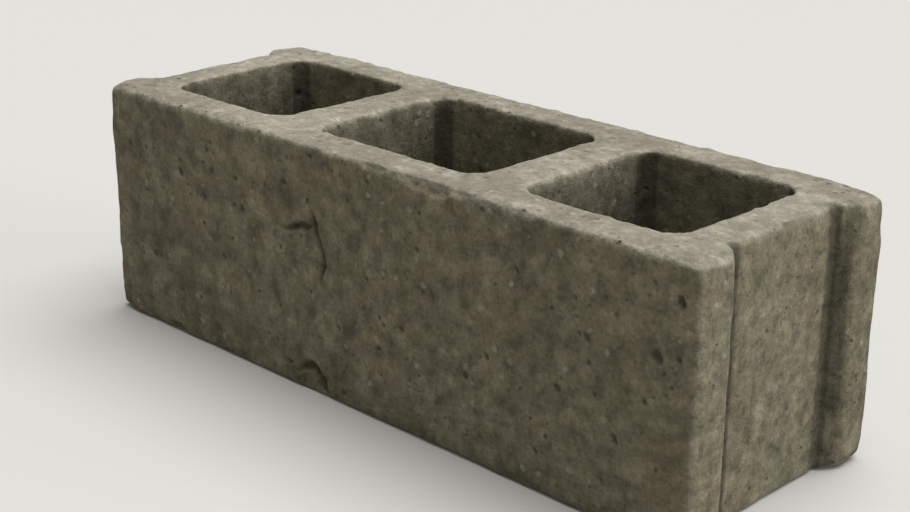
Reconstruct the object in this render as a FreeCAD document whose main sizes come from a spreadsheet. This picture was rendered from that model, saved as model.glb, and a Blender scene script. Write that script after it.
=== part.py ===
# Three-core hollow concrete block with eared ends, cast in one piece.
# Frame: origin at the centre of the bottom bed face, +X along the length, +Y across the width, +Z up.
# The two long walls (face shells) run past the end walls as ears, and the shallow recess between each
# pair of ears takes the mortar of the upright joint. Two webs part the three cells, which run right
# through and open out a little towards the bottom, because the cores that form them are tapered.
import FreeCAD, Part
import os

import Sketcher

# Driving dimensions in millimetres, slopes in degrees: alias, value, meaning.
SIZES = [
    ("overallLength", 590.0, "length over the tips of the ears"),
    ("overallWidth", 200.0, "width over the two face shells"),
    ("blockHeight", 190.0, "height from bed to bed"),
    ("faceShell", 33.0, "thickness of a face shell at the top"),
    ("endWall", 32.0, "thickness of an end wall at the top, from the floor of the recess"),
    ("middleWeb", 39.0, "thickness of a web between two cells at the top"),
    ("middleCellExtra", 31.0, "how much longer the middle cell is than an end cell"),
    ("cellCorner", 18.0, "radius of a cell's upright corners at the top"),
    ("coreDraft", 0.5, "slope of a cell's walls, which widens the cell towards the bottom"),
    ("recessDepth", 12.0, "how far an ear stands out from the end wall"),
    ("earTip", 31.0, "width of an ear at its tip"),
    ("earSlope", 13.0, "run across the width of the slope from an ear's tip to the end wall"),
    ("earOuterCorner", 5.0, "radius of an ear's outer upright corner"),
    ("earInnerCorner", 5.0, "radius of an ear's inner upright corner"),
    ("recessCorner", 7.0, "radius where an ear's slope meets the end wall"),
    ("arris", 3.0, "radius of every edge of the two bed faces"),
]
SHEET = "Sizes"
START, END, CENTRE = 1, 2, 3          # point numbers on a sketch's line or arc
ORIGIN = (-1, 1)                      # the sketch's own origin, then its two axes
X_AXIS, Y_AXIS = -1, -2


def make_sheet(doc):
    """Spreadsheet that holds the driving dimensions as plain numbers with aliases."""
    sheet = doc.addObject("Spreadsheet::Sheet", SHEET)
    for row, (alias, value, meaning) in enumerate(SIZES, start=1):
        sheet.set(f"A{row}", meaning)
        sheet.set(f"B{row}", str(value))
        sheet.setAlias(f"B{row}", alias)
    doc.recompute()
    return sheet


def bed_sketch(body, name, height=None):
    """Sketch on the body's XY plane, or at a height above it that an expression gives."""
    plane = next(f for f in body.Origin.OriginFeatures if f.Role == "XY_Plane")
    sketch = body.newObject("Sketcher::SketchObject", name)
    sketch.AttachmentSupport = [(plane, "")]
    sketch.MapMode = "FlatFace"
    if height:
        sketch.setExpression("AttachmentOffset.Base.z", height)
    return sketch


def bind(sketch, name, kind, geometry, value, expression):
    """Adds a dimension to a sketch and ties it to the spreadsheet."""
    index = sketch.addConstraint(Sketcher.Constraint(kind, *geometry, value))
    sketch.renameConstraint(index, name)
    sketch.setExpression(f"Constraints.{name}", expression)


def draw_outline(sketch, size):
    """Plan outline: a rectangle whose two short sides are recessed between the ears."""
    half_length, half_width = size["overallLength"] / 2, size["overallWidth"] / 2
    floor = half_length - size["recessDepth"]
    tip = half_width - size["earTip"]
    foot = tip - size["earSlope"]
    right = [(half_length, -half_width), (half_length, -tip), (floor, -foot),
             (floor, foot), (half_length, tip), (half_length, half_width)]
    corners = right + [(-x, y) for x, y in reversed(right)]
    count = len(corners)
    for i, (x, y) in enumerate(corners):
        next_x, next_y = corners[(i + 1) % count]
        start, end = FreeCAD.Vector(x, y, 0), FreeCAD.Vector(next_x, next_y, 0)
        sketch.addGeometry(Part.LineSegment(start, end), False)
    for i in range(count):
        sketch.addConstraint(Sketcher.Constraint("Coincident", i, END, (i + 1) % count, START))
    # The right half mirrors itself across the X axis, and the left half mirrors the right one.
    for low, high in ((0, 5), (1, 4), (2, 3)):
        sketch.addConstraint(Sketcher.Constraint("Symmetric", low, START, high, START, X_AXIS))
    for i in range(count // 2):
        mirrored = count - 1 - i
        sketch.addConstraint(Sketcher.Constraint("Symmetric", i, START, mirrored, START, Y_AXIS))
    sketch.addConstraint(Sketcher.Constraint("Vertical", 0))
    bind(sketch, "length", "DistanceX", (11, START, 0, START), 2 * half_length, f"{SHEET}.overallLength")
    bind(sketch, "width", "DistanceY", (0, START, 5, START), 2 * half_width, f"{SHEET}.overallWidth")
    bind(sketch, "tip", "DistanceY", (0, START, 1, START), size["earTip"], f"{SHEET}.earTip")
    bind(sketch, "slope", "DistanceY", (1, START, 2, START), size["earSlope"], f"{SHEET}.earSlope")
    bind(sketch, "depth", "DistanceX", (2, START, 1, START), size["recessDepth"], f"{SHEET}.recessDepth")


def draw_cell(sketch, name, left, right, half_width, radius, ties):
    """Rectangle with round corners; left and right are X positions, ties their expressions."""
    low, high = -half_width, half_width
    point = FreeCAD.Vector
    first = sketch.GeometryCount
    sides = [((left + radius, low), (right - radius, low)), ((right, low + radius), (right, high - radius)),
             ((right - radius, high), (left + radius, high)), ((left, high - radius), (left, low + radius))]
    centres = [(right - radius, low + radius), (right - radius, high - radius),
               (left + radius, high - radius), (left + radius, low + radius)]
    quarter = 3.141592653589793 / 2
    for side, (centre_x, centre_y), turn in zip(sides, centres, (-1, 0, 1, 2)):
        start, end = (point(x, y, 0) for x, y in side)
        sketch.addGeometry(Part.LineSegment(start, end), False)
        circle = Part.Circle(point(centre_x, centre_y, 0), point(0, 0, 1), radius)
        sketch.addGeometry(Part.ArcOfCircle(circle, turn * quarter, (turn + 1) * quarter), False)
    for i in range(0, 8, 2):
        line, arc, after = first + i, first + i + 1, first + (i + 2) % 8
        sketch.addConstraint(Sketcher.Constraint("Tangent", line, END, arc, START))
        sketch.addConstraint(Sketcher.Constraint("Tangent", arc, END, after, START))
        if i != 2:
            sketch.addConstraint(Sketcher.Constraint("Horizontal" if i % 4 == 0 else "Vertical", line))
        if i:
            sketch.addConstraint(Sketcher.Constraint("Equal", first + 1, arc))
    front, right_side, back, left_side = first, first + 2, first + 4, first + 6
    # The mirroring of its two ends keeps the right side vertical.
    sketch.addConstraint(Sketcher.Constraint("Symmetric", right_side, START, right_side, END, X_AXIS))
    bind(sketch, name + "Corner", "Radius", (first + 1,), radius, f"{SHEET}.cellCorner")
    bind(sketch, name + "Width", "DistanceY", (front, START, back, END), 2 * half_width, ties["width"])
    for side, x, label in ((left_side, left, "Left"), (right_side, right, "Right")):
        span = (*ORIGIN, side, START) if x > 0 else (side, START, *ORIGIN)
        bind(sketch, name + label, "DistanceX", span, abs(x), ties[label])


def draw_cells(sketch, size):
    """Top outlines of the three cells: a longer one in the middle and one on each side."""
    inside = size["overallLength"] - 2 * (size["recessDepth"] + size["endWall"])
    end_cell = (inside - 2 * size["middleWeb"] - size["middleCellExtra"]) / 3
    half_middle = (end_cell + size["middleCellExtra"]) / 2
    near, far = half_middle + size["middleWeb"], inside / 2
    half_width = size["overallWidth"] / 2 - size["faceShell"]

    inside_tie = f"({SHEET}.overallLength - 2 * ({SHEET}.recessDepth + {SHEET}.endWall))"
    end_cell_tie = f"(({inside_tie} - 2 * {SHEET}.middleWeb - {SHEET}.middleCellExtra) / 3)"
    middle_tie = f"({end_cell_tie} + {SHEET}.middleCellExtra) / 2"
    near_tie, far_tie = f"{middle_tie} + {SHEET}.middleWeb", f"{inside_tie} / 2"
    width = f"{SHEET}.overallWidth - 2 * {SHEET}.faceShell"

    radius = size["cellCorner"]
    draw_cell(sketch, "middle", -half_middle, half_middle, half_width, radius,
              {"width": width, "Left": middle_tie, "Right": middle_tie})
    draw_cell(sketch, "right", near, far, half_width, radius,
              {"width": width, "Left": near_tie, "Right": far_tie})
    draw_cell(sketch, "left", -far, -near, half_width, radius,
              {"width": width, "Left": far_tie, "Right": near_tie})


def edges_where(shape, test):
    """Names of the edges for which test(edge) holds."""
    return [f"Edge{i}" for i, edge in enumerate(shape.Edges, start=1) if test(edge)]


def round_edges(body, name, base, test, alias):
    """Fillet on the chosen edges of the body so far, its radius tied to the spreadsheet."""
    body.Document.recompute()
    names = edges_where(base.Shape, test)
    if not names:
        raise RuntimeError(f"{name}: no edges found")
    fillet = body.newObject("PartDesign::Fillet", name)
    fillet.Base = (base, names)
    fillet.setExpression("Radius", f"{SHEET}.{alias}")
    body.Document.recompute()
    print(name, "rounds", len(names), "edges")
    return fillet


def upright_at(x, y):
    """Test for an upright edge at plan position (x, y), on either side of both axes."""
    def test(edge):
        box = edge.BoundBox
        upright = box.ZLength > 1 and max(box.XLength, box.YLength) < 0.001
        return upright and abs(abs(box.Center.x) - x) < 0.01 and abs(abs(box.Center.y) - y) < 0.01
    return test


def build_block(doc, sheet):
    size = {alias: float(getattr(sheet, alias)) for alias, _, _ in SIZES}
    body = doc.addObject("PartDesign::Body", "concrete_block")
    body.Label = "concrete_block"

    outline = bed_sketch(body, "Outline")
    draw_outline(outline, size)
    feature = body.newObject("PartDesign::Pad", "Casting")
    feature.Profile = outline
    feature.setExpression("Length", f"{SHEET}.blockHeight")

    half_length, half_width = size["overallLength"] / 2, size["overallWidth"] / 2
    tip = half_width - size["earTip"]
    uprights = [
        ("EarOuterCorners", half_length, half_width, "earOuterCorner"),
        ("EarInnerCorners", half_length, tip, "earInnerCorner"),
        ("RecessCorners", half_length - size["recessDepth"], tip - size["earSlope"], "recessCorner"),
    ]
    for name, x, y, alias in uprights:
        feature = round_edges(body, name, feature, upright_at(x, y), alias)

    solid_volume = feature.Shape.Volume
    cells = bed_sketch(body, "CellMouths", f"{SHEET}.blockHeight")
    draw_cells(cells, size)
    feature = body.newObject("PartDesign::Pocket", "Cells")
    feature.Profile = cells
    feature.setExpression("Length", f"{SHEET}.blockHeight")
    feature.setExpression("TaperAngle", f"{SHEET}.coreDraft")
    doc.recompute()
    print("cell mouths:", len(cells.Shape.Wires))
    mouths = sum(Part.Face(wire).Area for wire in cells.Shape.Wires)
    removed = solid_volume - feature.Shape.Volume
    print(f"cells take {removed:.0f} mm3 out of {solid_volume:.0f} mm3")
    if removed < mouths * size["blockHeight"]:
        raise RuntimeError("the cells do not run right through the block")

    def on_bed(edge):
        box = edge.BoundBox
        return box.ZLength < 0.001 and min(abs(box.ZMin), abs(box.ZMin - size["blockHeight"])) < 0.001

    round_edges(body, "Arrises", feature, on_bed, "arris")
    body.Placement = FreeCAD.Placement(FreeCAD.Vector(0, 0, 0), FreeCAD.Rotation())
    doc.recompute()
    return body


def check(doc):
    """Stops the build if any feature failed or any shape is not a valid solid."""
    for item in doc.Objects:
        if "Invalid" in item.State or "Error" in item.State:
            raise RuntimeError(f"{item.Name} did not recompute: {item.State}")
        shape = getattr(item, "Shape", None)
        if shape is not None and item.TypeId.startswith("PartDesign::"):
            if shape.isNull() or not shape.isValid():
                raise RuntimeError(f"{item.Name} has no valid shape")


def main():
    doc = FreeCAD.newDocument("ConcreteBlock")
    body = build_block(doc, make_sheet(doc))
    check(doc)
    shape = body.Shape
    if len(shape.Solids) != 1:
        raise RuntimeError("the block is not one solid")
    box = shape.optimalBoundingBox(False)
    print(f"{body.Label}: {box.XLength:.2f} x {box.YLength:.2f} x {box.ZLength:.2f} mm")
    print(f"volume {shape.Volume:.0f} mm3, centre of mass {shape.Solids[0].CenterOfMass}")
    os.makedirs("parts", exist_ok=True)
    shape.exportStep("parts/concrete_block.step")


main()
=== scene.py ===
import math

import bpy
import numpy as np
from mathutils import Matrix, Vector


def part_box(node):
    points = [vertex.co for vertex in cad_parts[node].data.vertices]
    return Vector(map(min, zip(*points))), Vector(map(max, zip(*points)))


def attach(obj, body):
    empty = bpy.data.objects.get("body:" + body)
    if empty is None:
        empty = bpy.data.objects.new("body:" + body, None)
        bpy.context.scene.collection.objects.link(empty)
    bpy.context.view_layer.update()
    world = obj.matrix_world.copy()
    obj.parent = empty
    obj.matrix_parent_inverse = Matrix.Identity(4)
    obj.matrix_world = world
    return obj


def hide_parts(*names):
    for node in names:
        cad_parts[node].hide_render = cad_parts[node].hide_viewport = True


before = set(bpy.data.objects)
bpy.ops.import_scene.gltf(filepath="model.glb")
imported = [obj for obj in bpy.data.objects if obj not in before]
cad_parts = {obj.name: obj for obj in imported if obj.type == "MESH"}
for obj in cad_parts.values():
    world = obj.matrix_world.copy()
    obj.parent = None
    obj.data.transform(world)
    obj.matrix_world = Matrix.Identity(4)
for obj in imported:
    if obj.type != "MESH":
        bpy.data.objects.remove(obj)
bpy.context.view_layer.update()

mm = 0.001
halfLong, halfWide, tall = 0.295, 0.100, 0.190      # the block

def hashed(ix, iy, iz, seed):      # 0 to 1, the same for the same whole numbers
    h = ix.astype(np.uint64) * np.uint64(73856093)
    h ^= iy.astype(np.uint64) * np.uint64(19349663)
    h ^= iz.astype(np.uint64) * np.uint64(83492791)
    h ^= np.uint64(seed * 2654435761 % 4294967296)
    low = np.uint64(0xFFFFFFFF)
    for shift, factor in ((15, 2246822519), (13, 3266489917)):
        h &= low
        h = (h ^ (h >> np.uint64(shift))) * np.uint64(factor)
    h &= low
    return ((h ^ (h >> np.uint64(16))) & np.uint64(0xFFFFFF)).astype(float) / 0xFFFFFF


def smoothNoise(points, size, seed):      # -1 to 1, blobs about size across
    q = points / size
    cell = np.floor(q).astype(np.int64)
    t = q - cell
    t = t * t * (3 - 2 * t)
    total = 0.0
    for dx in (0, 1):
        for dy in (0, 1):
            for dz in (0, 1):
                weight = (t[:, 0] if dx else 1 - t[:, 0]) * (t[:, 1] if dy else 1 - t[:, 1]) \
                    * (t[:, 2] if dz else 1 - t[:, 2])
                c = cell + (dx, dy, dz)
                total = total + weight * hashed(c[:, 0], c[:, 1], c[:, 2], seed)
    return total * 2 - 1


def roughNoise(points, size, octaves, seed):      # the same with finer noise added
    total, height = 0.0, 1.0
    for i in range(octaves):
        total = total + smoothNoise(points, size, seed + i) * height
        size, height = size * 0.47, height * 0.55
    return total


# distance to the nearest of many scattered points, and that point's own random value
def nearestSeed(points, size, seed):
    q = points / size
    cell = np.floor(q).astype(np.int64)
    best = np.full(len(points), 9.0)
    luck = np.zeros(len(points))
    for dx in (-1, 0, 1):
        for dy in (-1, 0, 1):
            for dz in (-1, 0, 1):
                c = cell + (dx, dy, dz)
                jitter = [hashed(c[:, 0], c[:, 1], c[:, 2], seed + k) for k in range(3)]
                spot = np.stack(jitter, 1) + c
                gap = np.linalg.norm(q - spot, axis=1)
                closer = gap < best
                best[closer] = gap[closer]
                luck[closer] = hashed(c[:, 0], c[:, 1], c[:, 2], seed + 3)[closer]
    return best * size, luck


def ramp(values, low, high):      # smooth step from 0 at low to 1 at high
    t = np.clip((values - low) / (high - low), 0, 1)
    return t * t * (3 - 2 * t)


# distance from points to a run of straight pieces, and how far along it they are, 0 to 1
def lineGap(x, z, path):
    best = np.full(len(x), 9.0)
    along = np.zeros(len(x))
    pieces = len(path) - 1
    for i, ((x0, z0), (x1, z1)) in enumerate(zip(path, path[1:])):
        dx, dz = x1 - x0, z1 - z0
        t = np.clip(((x - x0) * dx + (z - z0) * dz) / (dx * dx + dz * dz), 0, 1)
        gap = np.hypot(x - x0 - t * dx, z - z0 - t * dz)
        closer = gap < best
        best[closer] = gap[closer]
        along[closer] = (i + t[closer]) / pieces
    return best, along


def fineCopy(node, name, grain):      # the CAD solid as one closed net of small squares
    piece = bpy.data.objects.new(name, node.data.copy())
    bpy.context.scene.collection.objects.link(piece)
    piece.data.materials.clear()
    net = piece.modifiers.new("net", "REMESH")
    net.mode = "VOXEL"
    net.voxel_size = grain
    return applied(piece)


def applied(piece):      # its modifiers made final
    view = bpy.context.view_layer
    view.update()
    shaped = piece.evaluated_get(bpy.context.evaluated_depsgraph_get())
    mesh = bpy.data.meshes.new_from_object(shaped)
    old = piece.data
    piece.modifiers.clear()
    piece.data = mesh
    mesh.name = piece.name
    bpy.data.meshes.remove(old)
    return piece


def positions(mesh):
    co = np.zeros(len(mesh.vertices) * 3)
    mesh.vertices.foreach_get("co", co)
    return co.reshape(-1, 3)


def normals(mesh):
    no = np.zeros(len(mesh.vertices) * 3, np.float32)
    mesh.vertex_normals.foreach_get("vector", no)
    return no.reshape(-1, 3).astype(float)


def place(mesh, points):
    mesh.vertices.foreach_set("co", points.astype(np.float32).ravel())
    mesh.update()


# each point moves to the middle of its neighbours, again and again
def relaxed(points, links, rounds):
    a, b = links[:, 0], links[:, 1]
    count = len(points)
    share = (np.bincount(a, minlength=count) + np.bincount(b, minlength=count))[:, None]
    for _ in range(rounds):
        total = np.zeros_like(points)
        for axis in range(3):
            total[:, axis] = np.bincount(a, points[b, axis], count) \
                + np.bincount(b, points[a, axis], count)
        points = total / share
    return points


def store(mesh, name, values):      # for the material, 0 to 1 at each point
    layer = mesh.attributes.new(name, "FLOAT", "POINT")
    layer.data.foreach_set("value", np.clip(values, 0, 1).astype(np.float32))


blockLook = {
    "grain": 1.7 * mm,             # net size before it is thinned out
    "faces": 196000,               # triangles that are kept
    "arrisRounds": 3,              # light wear of every edge
    "wornRounds": 24,              # heavy wear, where an edge is rubbed away
    "swell": 0.28 * mm,            # slow waviness of the moulded faces
    "skin": 0.26 * mm,             # grain of the moulded faces
    "bedGrain": 0.55 * mm,         # coarser grain of the top
    "pitDepth": 2.2 * mm,          # of the largest pits
    "stoneLift": 0.36 * mm,        # stones that stand out along worn edges
    "smallChips": 34,
    "crackDepth": 4.0 * mm,
    "crackWidth": 2.9 * mm,
    "earFoot": 1.6 * mm,           # how far the foot of each ear's groove is eaten away
}

# cracks in the front face, as X and Z, the last one around a half-moon that has almost come away;
# the two numbers are how open each crack still is at its ends
cracks = [
    (0.30, 0.35, [(-0.051, 0.149), (-0.048, 0.139), (-0.045, 0.128), (-0.040, 0.119),
                  (-0.037, 0.111), (-0.035, 0.103), (-0.038, 0.095), (-0.037, 0.087)]),
    (0.20, 0.45, [(-0.088, 0.122), (-0.076, 0.1215), (-0.067, 0.125), (-0.060, 0.1285),
                  (-0.052, 0.1275), (-0.047, 0.131)]),
    (0.25, 1.00, [(-0.066, 0.011), (-0.060, 0.017), (-0.052, 0.0205), (-0.045, 0.018),
                  (-0.039, 0.010), (-0.034, 0.001)]),
]

# spalls: middle, half sizes in metres; the middle lies on the face that is broken
spalls = [
    ((-0.049, -halfWide, 0.0), (0.016, 0.0018, 0.019)),
    ((0.070, -halfWide, tall), (0.036, 0.0060, 0.0085)),
    ((0.018, -halfWide, tall), (0.016, 0.0042, 0.0060)),
    ((0.150, -halfWide, tall), (0.013, 0.0032, 0.0036)),
    ((-0.215, -halfWide, 0.0), (0.014, 0.0040, 0.0070)),
    ((0.115, halfWide, 0.0), (0.020, 0.0050, 0.0100)),
    ((-0.150, halfWide, tall), (0.017, 0.0045, 0.0065)),
    ((-0.020, halfWide, tall), (0.010, 0.0034, 0.0040)),
    ((-halfLong, -0.060, 0.0), (0.0050, 0.016, 0.0110)),
    ((0.283, 0.010, tall), (0.0045, 0.021, 0.0055)),
]

# holes in the front face: X, Z, radius
holes = [
    (0.210, 0.122, 0.0030), (0.280, 0.164, 0.0042), (0.265, 0.125, 0.0046),
    (0.256, 0.094, 0.0030), (0.187, 0.079, 0.0028), (0.126, 0.082, 0.0026),
    (0.106, 0.062, 0.0034), (-0.127, 0.125, 0.0026), (-0.201, 0.146, 0.0024),
    (-0.201, 0.137, 0.0028), (-0.167, 0.162, 0.0022), (-0.150, 0.080, 0.0024),
    (-0.020, 0.060, 0.0026), (0.060, 0.140, 0.0022), (0.150, 0.150, 0.0028),
    (0.235, 0.060, 0.0032), (0.010, 0.105, 0.0020), (-0.240, 0.060, 0.0026),
    (0.225, 0.030, 0.0026), (0.170, 0.030, 0.0022),
]

# places where the arrises are rubbed away more: point, reach
rubbed = [
    ((halfLong, halfWide, tall), 0.034), ((halfLong, -0.085, tall), 0.030),
    ((0.070, -halfWide, tall), 0.040), ((0.283, 0.020, tall), 0.045),
    ((-halfLong, halfWide, tall), 0.035), ((-0.140, -halfWide, tall), 0.030),
    ((halfLong, 0.080, 0.0), 0.030), ((-halfLong, -halfWide, 0.030), 0.030),
]


# scattered along the long arrises, on either side, at top and foot
def smallChips(count, seed):
    luck = np.random.RandomState(seed)
    chips = []
    for _ in range(count):
        x = luck.uniform(-0.28, 0.28)
        side = luck.choice((-halfWide, halfWide))
        end = luck.choice((0.0, tall))
        wide = luck.uniform(3.0 * mm, 8.5 * mm) * (0.5 if side > 0 and end > 0 else 1.0)
        deep = wide * luck.uniform(0.30, 0.45)
        high = wide * luck.uniform(0.45, 0.80)
        chips.append(((x, side, end), (wide, deep, high)))
    return chips


def makeBlock(node, look):
    low, high = (np.array(v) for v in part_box("concrete_block"))
    piece = fineCopy(node, "blockCasting", look["grain"])
    mesh = piece.data
    p, n = positions(mesh), normals(mesh)
    links = np.zeros(len(mesh.edges) * 2, np.int64)
    mesh.edges.foreach_get("vertices", links)
    links = links.reshape(-1, 2)
    print("net:", len(p), "points")

    # wear of the arrises: part of the way to a relaxed shape, more where the block was rubbed
    light = relaxed(p, links, look["arrisRounds"])
    heavy = relaxed(light, links, look["wornRounds"])
    mouth = (np.abs(p[:, 0]) < 0.258) & (np.abs(p[:, 1]) < 0.075)      # the cells and their rims
    amount = 0.28 + 0.26 * smoothNoise(p, 0.050, 11) + 0.22 * smoothNoise(p, 0.014, 12)
    webEdge = np.minimum(np.abs(p[:, 0] + 0.0765), np.abs(p[:, 0] - 0.1155))
    webs = mouth & (p[:, 2] > 0.175) & (webEdge < 0.010)
    ragged = 0.60 + 0.55 * smoothNoise(p, 0.016, 13) + 0.30 * smoothNoise(p, 0.006, 14)
    amount = np.where(webs, ragged, np.where(mouth, 0.15 * (amount - 0.28), amount))
    for spot, reach in rubbed:
        amount += 0.9 * ramp(-np.linalg.norm(p - spot, axis=1), -reach, -0.3 * reach)
    upright = np.maximum(ramp(-np.abs(n[:, 2]), -0.75, -0.25), ramp(-p[:, 2], -0.012, -0.006))
    span = np.abs(p[:, 0]) + p[:, 1]
    nearCorner = upright * ramp(p[:, 0] - p[:, 1], 0.372, 0.382)
    farCorners = ramp(span, 0.372, 0.384) + ramp(-p[:, 0] - p[:, 1], 0.372, 0.384)
    amount = amount * (1 - 0.9 * nearCorner) + 0.75 * farCorners
    amount = np.clip(amount, 0, 1.35)[:, None]
    outer = ((p - heavy) * n).sum(1)
    worn = ramp(outer, 0.7 * mm, 2.6 * mm)
    bulge = np.where(outer > 0, np.where(mouth & ~webs, 0.3, 1.0), 0.35)[:, None]
    p = p + (light - p) * bulge + (heavy - light) * amount * bulge
    crest = worn * np.clip(0.55 + amount[:, 0] * 0.6, 0, 1)

    top = ramp(n[:, 2], 0.6, 0.9)
    under = ramp(-n[:, 2], 0.6, 0.9)
    inside = (np.abs(p[:, 0]) < 0.2525) & (np.abs(p[:, 1]) < 0.070) \
        & (p[:, 2] > 2 * mm) & (p[:, 2] < tall - 1.5 * mm)

    # breaks
    # cracks, holes and pits are painted dark below: painted shade in these hollows, with some dirt
    dirtAndShade = np.zeros(len(p))
    fresh = np.zeros(len(p))
    for i, (middle, half) in enumerate(spalls + smallChips(look["smallChips"], 7)):
        q = (p - middle) / half * (1 + 0.22 * smoothNoise(p, 0.007, 60 + i))[:, None]
        axis = int(np.argmin(half[:2]))      # across the face that is broken
        flat = (np.delete(q, axis, 1) ** 2).sum(1)
        depth = np.clip(1 - flat, 0, 1) ** 0.4 * half[axis]
        gone = np.abs(p[:, axis] - middle[axis])
        hit = (flat < 1) & (gone < half[axis])
        p[:, axis] -= np.sign(middle[axis]) * np.where(hit, np.maximum(depth - gone, 0), 0)
        fresh = np.maximum(fresh, hit * 0.8)
    front = ramp(-n[:, 1], 0.6, 0.9) * (p[:, 1] < -0.092)
    wobble = smoothNoise(p, 0.006, 70) * 1.2 * mm
    for start, end, path in cracks:
        gap, along = lineGap(p[:, 0] + wobble, p[:, 2] + wobble, path)
        gape = start + (1 - start) * ramp(along, 0, 0.35)
        gape = gape * (end + (1 - end) * ramp(-along, -1, -0.7))
        width = look["crackWidth"] * (0.45 + 0.55 * gape) * (1 + 0.45 * smoothNoise(p, 0.013, 72))
        uneven = 0.95 + 0.30 * smoothNoise(p, 0.015, 73)
        groove = np.exp(-(gap / width) ** 2) * front * gape * uneven
        p[:, 1] += groove * look["crackDepth"]
        dirtAndShade = np.maximum(dirtAndShade, ramp(groove, 0.10, 0.75))
    for x, z, r in holes:
        gap = np.hypot(p[:, 0] - x + 0.4 * (p[:, 2] - z), (p[:, 2] - z) * 0.80)
        gap = gap / (r * (1 + 0.45 * smoothNoise(p, 0.005, 71)))
        sink = np.clip(1 - gap ** 2, 0, 1) * front
        p[:, 1] += sink * r * 0.6
        dirtAndShade = np.maximum(dirtAndShade, ramp(sink, 0.0, 0.7) * 0.9)

    # slow swell, grain, pits and stones; foot is where an ear's slope meets the end wall
    foot = np.hypot(np.abs(p[:, 0]) - 0.283, np.abs(p[:, 1]) - 0.055)
    lift = look["swell"] * roughNoise(p, 0.060, 2, 21)
    lift -= look["earFoot"] * ramp(-foot, -4.5 * mm, -1.2 * mm)
    lift += look["skin"] * roughNoise(p, 0.011, 3, 25)
    lift += 0.32 * mm * np.minimum(roughNoise(p, 0.019, 2, 29), 0)
    lift += look["bedGrain"] * top * roughNoise(p, 0.009, 3, 31)
    lift += 0.35 * mm * np.where(inside, roughNoise(p * (1, 1, 0.25), 0.012, 2, 34), 0)
    largest = 3.4 * mm
    for size, reach, seed, share in ((0.023, largest, 41, 0.75), (0.012, 2.1 * mm, 47, 0.6)):
        gap, luck = nearestSeed(p, size, seed)
        key = np.floor(luck * 9973).astype(np.int64)
        radius = reach * (0.45 + 0.55 * hashed(key, key, key, 5))
        sink = np.clip(1 - (gap / radius) ** 2, 0, 1) * (luck < share)
        lift -= sink * look["pitDepth"] * radius / largest
        # pits painted dark: painted shade in them, with some dirt
        dirtAndShade = np.maximum(dirtAndShade, ramp(sink, 0.1, 0.8) * 0.75)
    gap, luck = nearestSeed(p, 0.0085, 53)
    stone = np.clip(1 - (gap / (3.6 * mm)) ** 2, 0, 1) * (luck < 0.7)
    lift += look["stoneLift"] * stone * np.maximum(crest, 0.35 * top)
    lift -= 0.25 * mm * crest * np.abs(roughNoise(p, 0.006, 2, 57))
    p = p + n * lift[:, None]

    # the bed it stands on stays flat, and nothing passes the frame
    p[:, 2] = np.maximum(p[:, 2], low[2])
    p = np.clip(p, low, high)

    # painted shade: the sloped sides of the end recesses, their feet and the creases of the ends
    # are darkened
    slanted = np.abs(n[:, 0] * n[:, 1])
    ends = np.abs(p[:, 0]) > 0.27
    slope = ramp(slanted, 0.22, 0.42) * ends * (np.abs(p[:, 1]) < 0.078)
    slope *= ramp(-np.abs(p[:, 1]), -0.0665, -0.0640)
    corner = ramp(((light - p) * n).sum(1), 0.15 * mm, 1.0 * mm)
    foot = np.hypot(np.abs(p[:, 0]) - 0.283, np.abs(p[:, 1]) - 0.054)
    foot = ramp(-foot - 0.8 * mm * smoothNoise(p, 0.018, 81), -7.0 * mm, -3.5 * mm)
    slope *= 0.74 + 0.50 * smoothNoise(p, 0.028, 82)
    slope *= 1 - 0.75 * ramp(p[:, 2], 0.164, 0.184)
    endRecessShade = np.clip(slope + foot + 0.3 * corner * ends, 0, 1)
    # painted shade inside the cells: the walls darkened, those facing the front less, the corners
    # between walls more
    cellCornerShade = inside * ramp(slanted, 0.12, 0.42)
    cellWallShade = inside * (0.6 - 0.45 * ramp(-n[:, 1], 0.3, 0.9))

    place(mesh, p)
    store(mesh, "crest", crest)
    # bed faces paler, the top most: partly a scraped bed, partly painted light on the top
    store(mesh, "bed", np.maximum(top, under * 0.6) * (1 - crest * 0.3))
    store(mesh, "dirtAndShade", dirtAndShade)
    store(mesh, "endRecessShade", endRecessShade)
    store(mesh, "fresh", fresh)
    store(mesh, "cell", np.maximum(cellWallShade, cellCornerShade))
    print("block shaped")

    thin = piece.modifiers.new("thin", "DECIMATE")
    thin.ratio = min(1.0, look["faces"] / (2 * len(mesh.polygons)))
    thin.use_collapse_triangulate = True
    applied(piece)
    piece.data.polygons.foreach_set("use_smooth", np.ones(len(piece.data.polygons), bool))
    print("block thinned to", len(piece.data.polygons), "triangles")
    return piece


class Sock:      # a socket that can be added, subtracted and multiplied
    def __init__(self, socket, sheet):
        self.socket, self.sheet = socket, sheet

    def combine(self, other, operation, flip=False):
        a, b = (other, self) if flip else (self, other)
        vector = self.isVector() or isinstance(other, tuple)
        vector = vector or (isinstance(other, Sock) and other.isVector())
        kind, output = ("ShaderNodeVectorMath", "Vector") if vector else ("ShaderNodeMath", "Value")
        return self.sheet.node(kind, {"operation": operation}, {0: a, 1: b}, output)

    def isVector(self):
        return self.socket.type in ("VECTOR", "RGBA")

    def __add__(self, other): return self.combine(other, "ADD")
    def __radd__(self, other): return self.combine(other, "ADD", True)
    def __sub__(self, other): return self.combine(other, "SUBTRACT")
    def __rsub__(self, other): return self.combine(other, "SUBTRACT", True)
    def __mul__(self, other): return self.combine(other, "MULTIPLY")
    def __rmul__(self, other): return self.combine(other, "MULTIPLY", True)


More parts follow.
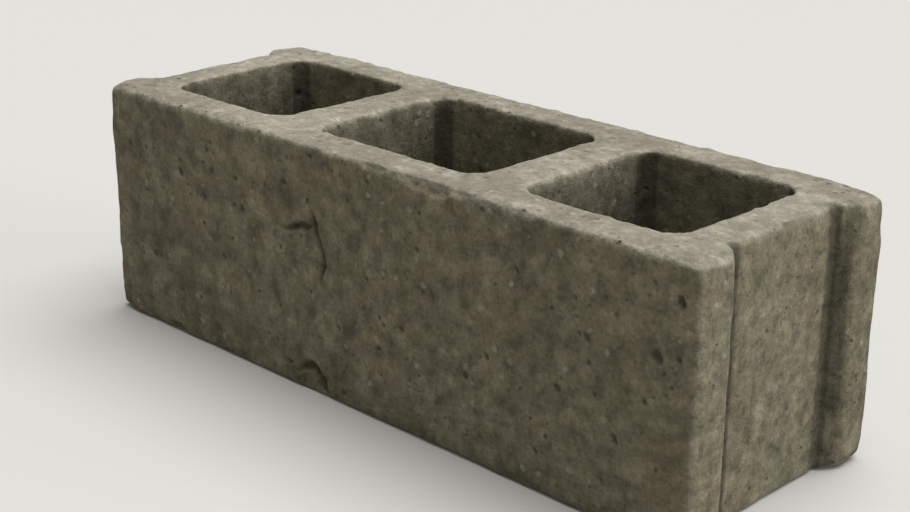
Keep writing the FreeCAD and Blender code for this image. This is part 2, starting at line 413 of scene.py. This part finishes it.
class Sheet:      # a material and its nodes
    def __init__(self, name):
        self.material = bpy.data.materials.new(name)
        self.material.use_nodes = True
        self.tree = self.material.node_tree
        self.surface = self.tree.nodes["Principled BSDF"]

    def node(self, kind, settings, inputs, output=0):
        made = self.tree.nodes.new(kind)
        for key, value in settings.items():
            setattr(made, key, value)
        for key, value in inputs.items():
            self.feed(made.inputs[key], value)
        return Sock(made.outputs[output], self)

    def feed(self, socket, value):
        if isinstance(value, Sock):
            self.tree.links.new(value.socket, socket)
        elif socket.type == "VECTOR" and isinstance(value, (int, float)):
            socket.default_value = (value,) * 3
        elif socket.type == "RGBA" and len(value) == 3:
            socket.default_value = (*value, 1.0)
        else:
            socket.default_value = value

    def place(self):
        return self.node("ShaderNodeTexCoord", {}, {}, "Object")

    def noise(self, where, scale, detail=3.0, roughness=0.5, distortion=0.0):
        inputs = {"Vector": where, "Scale": scale, "Detail": detail, "Roughness": roughness}
        return self.node("ShaderNodeTexNoise", {}, {**inputs, "Distortion": distortion}, "Fac")

    def cells(self, where, scale, output="Distance"):
        return self.node("ShaderNodeTexVoronoi", {}, {"Vector": where, "Scale": scale}, output)

    def step(self, value, low, high, start=0.0, end=1.0):
        return self.node("ShaderNodeMapRange", {"interpolation_type": "SMOOTHSTEP"},
                         {0: value, 1: low, 2: high, 3: start, 4: end}, 0)

    def blend(self, factor, a, b):      # the colour sockets of a Mix node are 6 and 7 in, 2 out
        return self.node("ShaderNodeMix", {"data_type": "RGBA"}, {0: factor, 6: a, 7: b}, 2)

    def layer(self, name):
        return self.node("ShaderNodeAttribute", {"attribute_name": name}, {}, "Fac")

    def bump(self, height, distance):
        inputs = {"Height": height, "Distance": distance, "Strength": 1.0}
        return self.node("ShaderNodeBump", {}, inputs, "Normal")

    def finish(self, colour, roughness, normal, specular=0.3):
        self.feed(self.surface.inputs["Base Color"], colour)
        self.feed(self.surface.inputs["Roughness"], roughness)
        if normal:
            self.feed(self.surface.inputs["Normal"], normal)
        self.surface.inputs["Specular IOR Level"].default_value = specular
        return self.material


concreteLook = {
    "paste": (0.274, 0.252, 0.181),        # plain moulded face
    "dark": (0.165, 0.149, 0.100),         # damp-looking patches
    "pale": (0.350, 0.325, 0.244),         # lime bloom
    "rust": (0.262, 0.215, 0.140),         # brown patches
    "moss": (0.215, 0.222, 0.145),         # greenish patches
    "bed": (0.320, 0.299, 0.240),          # dry, scraped top, made paler partly as painted light
    "rubbed": (0.450, 0.428, 0.345),       # worn arrises
    # very dark colour for pores, and for painted shade with some dirt in cracks, holes and pits
    "grimeAndShade": (0.070, 0.064, 0.046),
    "grit": (0.560, 0.540, 0.460),         # light stones
    "bump": 2.1 * mm,
}


def concrete(look):
    s = Sheet("blockConcrete")
    at = s.place()
    broad = s.noise(at, 14.0, 4.0, 0.55, 0.4)
    mid = s.noise(at, 46.0, 5.0, 0.6, 0.2)
    streak = s.noise(at * (1.0, 1.0, 0.28), 70.0, 4.0, 0.6)
    fine = s.noise(at, 330.0, 5.0, 0.72)
    dust = s.noise(at, 900.0, 3.0, 0.7)

    colour = s.blend(s.step(broad, 0.28, 0.56, 0.35, 1.0), look["dark"], look["paste"])
    colour = s.blend(s.step(mid, 0.42, 0.70) * 0.65, colour, look["pale"])
    colour = s.blend(s.step(mid, 0.50, 0.30) * 0.45, colour, look["dark"])
    brown = s.step(s.noise(at, 23.0, 3.0, 0.5), 0.56, 0.72)
    colour = s.blend(brown * 0.5, colour, look["rust"])
    green = s.step(s.noise(at + (3.1, 1.7, 0.4), 19.0, 3.0, 0.5), 0.56, 0.74)
    colour = s.blend(green * 0.45, colour, look["moss"])
    colour = s.blend(s.step(streak, 0.52, 0.75) * 0.45, colour, look["dark"])
    colour = s.blend(s.step(streak, 0.46, 0.25) * 0.30, colour, look["pale"])

    # the top is painted paler: partly a dry, scraped bed, partly painted light on the top
    bed, crest = s.layer("bed"), s.layer("crest")
    dryAndLitTop = s.blend(s.step(broad, 0.40, 0.62) * 0.7, look["bed"], look["rubbed"])
    colour = s.blend(bed * s.step(mid, 0.20, 0.62, 0.55, 1.0), colour, dryAndLitTop)
    colour = s.blend(crest * s.step(mid, 0.30, 0.60, 0.50, 1.0), colour, look["rubbed"])

    # blotches, sand and a few stones in the paste; warp keeps their outlines ragged
    shake = s.node("ShaderNodeTexNoise", {}, {"Vector": at, "Scale": 180.0, "Detail": 3.0}, "Color")
    warp = at + (shake - 0.5) * 0.005
    blotch = s.noise(warp, 95.0, 4.0, 0.55)
    calm = 1 - bed * 0.55      # the top is less mottled
    colour = s.blend(s.step(blotch, 0.50, 0.66) * 0.75, colour, colour * 1.38)
    colour = s.blend(s.step(blotch, 0.49, 0.34) * 0.75 * calm, colour, colour * 0.60)
    luck = s.node("ShaderNodeSeparateColor", {}, {0: s.cells(warp, 150.0, "Color")}, 0)
    grain = s.cells(warp, 150.0)
    stones = s.step(grain, 0.50, 0.25) * s.step(luck, 0.90, 0.98)
    colour = s.blend(stones * 0.52, colour, look["grit"])
    darker = s.step(grain, 0.50, 0.25) * s.step(luck, 0.12, 0.03)
    colour = s.blend(darker * 0.45, colour, look["dark"])
    colour = s.blend(s.step(fine, 0.45, 0.66) * 0.50, colour, colour * 1.35)
    colour = s.blend(s.step(fine, 0.50, 0.34) * 0.50 * calm, colour, colour * 0.60)
    colour = s.blend(s.step(dust, 0.55, 0.40) * 0.20, colour, colour * 0.65)

    # pores, cracks, dirt and painted shade in cracks, holes and pits, and painted shade darkening
    # the walls of the cells
    pore = s.step(s.cells(warp, 88.0), 0.17, 0.07) * s.step(mid, 0.44, 0.60)
    colour = s.blend(pore * 0.6, colour, look["grimeAndShade"])
    # painted shade on the cell walls, darker in the corners
    cell = s.layer("cell") * (1 - bed)
    colour = s.blend(s.step(cell, 0.0, 0.6) * 0.85, colour, colour * 0.74)
    colour = s.blend(s.step(cell, 0.62, 1.0) * 0.85, colour, colour * 0.50)
    # painted shade in the end recesses, their feet and creases
    endRecessShade = s.layer("endRecessShade") * s.step(mid, 0.2, 0.6, 0.75, 0.95)
    colour = s.blend(endRecessShade, colour, colour * (0.40, 0.41, 0.42))
    # painted shade with some dirt in cracks, holes and pits
    colour = s.blend(s.layer("dirtAndShade") * 0.75, colour, look["grimeAndShade"])
    colour = s.blend(s.layer("fresh") * 0.30, colour, look["dark"])

    rough = s.step(fine, 0.2, 0.8, 0.84, 0.97)
    height = s.noise(at, 150.0, 6.0, 0.68) + fine * 0.6 + dust * 0.22 - pore * 0.9 + stones * 0.25
    normal = s.bump(height, look["bump"])
    return s.finish(colour, rough, normal)


studioLook = {
    "floorHalf": 12.0,
    "floorLevel": -0.2 * mm,      # a hair under the block
    "floorShown": (0.70, 0.70, 0.695),
    "floorBounce": (0.36, 0.345, 0.285),
    "top": {"at": (0.25, 0.45, 2.2), "spread": 60.0, "power": 2.70, "tint": (1.0, 0.985, 0.96)},
    "side": {"at": (2.3, 0.9, 0.55), "spread": 33.0, "power": 1.08, "tint": (1.0, 0.98, 0.94)},
    "world": (0.222, 0.216, 0.199),
}


def makeFloor(look):
    mesh = bpy.data.meshes.new("floor")
    half, level = look["floorHalf"], look["floorLevel"]
    plan = ((-half, -half), (half, -half), (half, half), (-half, half))
    corners = [(x, y, level) for x, y in plan]
    mesh.from_pydata(corners, [], [(0, 1, 2, 3)])
    floor = bpy.data.objects.new("floor", mesh)
    bpy.context.scene.collection.objects.link(floor)
    s = Sheet("floorPaint")
    seen = 0.0      # one colour is what is seen, the other is what the floor throws back
    for kind in ("Camera", "Glossy", "Transmission"):
        ray = s.node("ShaderNodeLightPath", {}, {}, "Is " + kind + " Ray")
        seen = s.node("ShaderNodeMath", {"operation": "MAXIMUM"}, {0: ray, 1: seen})
    colour = s.blend(seen, look["floorBounce"], look["floorShown"])
    mesh.materials.append(s.finish(colour, 0.9, None, 0.1))


def makeLamp(name, look):
    lamp = bpy.data.objects.new(name, bpy.data.lights.new(name, "SUN"))
    lamp.data.angle = math.radians(look["spread"])
    lamp.data.energy = look["power"]
    lamp.data.color = look["tint"]
    lamp.location = look["at"]
    aim = Vector((0, 0, tall / 2 + 5 * mm)) - Vector(look["at"])
    lamp.rotation_euler = aim.to_track_quat("-Z", "Y").to_euler()
    bpy.context.scene.collection.objects.link(lamp)


def makeWorld(colour):
    world = bpy.data.worlds.new("studio")
    bpy.context.scene.world = world
    world.use_nodes = True
    world.node_tree.nodes["Background"].inputs["Color"].default_value = (*colour, 1)


cameraLook = {
    "at": (0.8249, -0.8440, 0.5249),
    "yaw": -44.405,
    "pitch": 20.044,
    "roll": 0.484,
    "lens": 67.06,
    "sensor": 36.0,
}


def makeCamera(look):
    yaw, pitch, roll = (math.radians(look[k]) for k in ("yaw", "pitch", "roll"))
    level = math.cos(pitch)
    forward = Vector((math.sin(yaw) * level, math.cos(yaw) * level, -math.sin(pitch)))
    right = Vector((math.cos(yaw), -math.sin(yaw), 0.0))
    up = right.cross(forward)
    c, d = math.cos(roll), math.sin(roll)
    right, up = right * c + up * d, up * c - right * d
    cam = bpy.data.objects.new("camera", bpy.data.cameras.new("camera"))
    cam.data.sensor_width, cam.data.lens = look["sensor"], look["lens"]
    turn = Matrix((right, up, -forward)).transposed().to_4x4()
    cam.matrix_world = Matrix.Translation(look["at"]) @ turn
    bpy.context.scene.collection.objects.link(cam)
    bpy.context.scene.camera = cam


makeCamera(cameraLook)
bpy.context.scene.view_settings.view_transform = "Standard"
print("camera set")

block = makeBlock(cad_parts["concrete_block"], blockLook)
block.data.materials.append(concrete(concreteLook))
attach(block, "root")
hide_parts("concrete_block")
print("block finished")

makeFloor(studioLook)
makeLamp("topLight", studioLook["top"])
makeLamp("sideLight", studioLook["side"])
makeWorld(studioLook["world"])
print("studio lit")
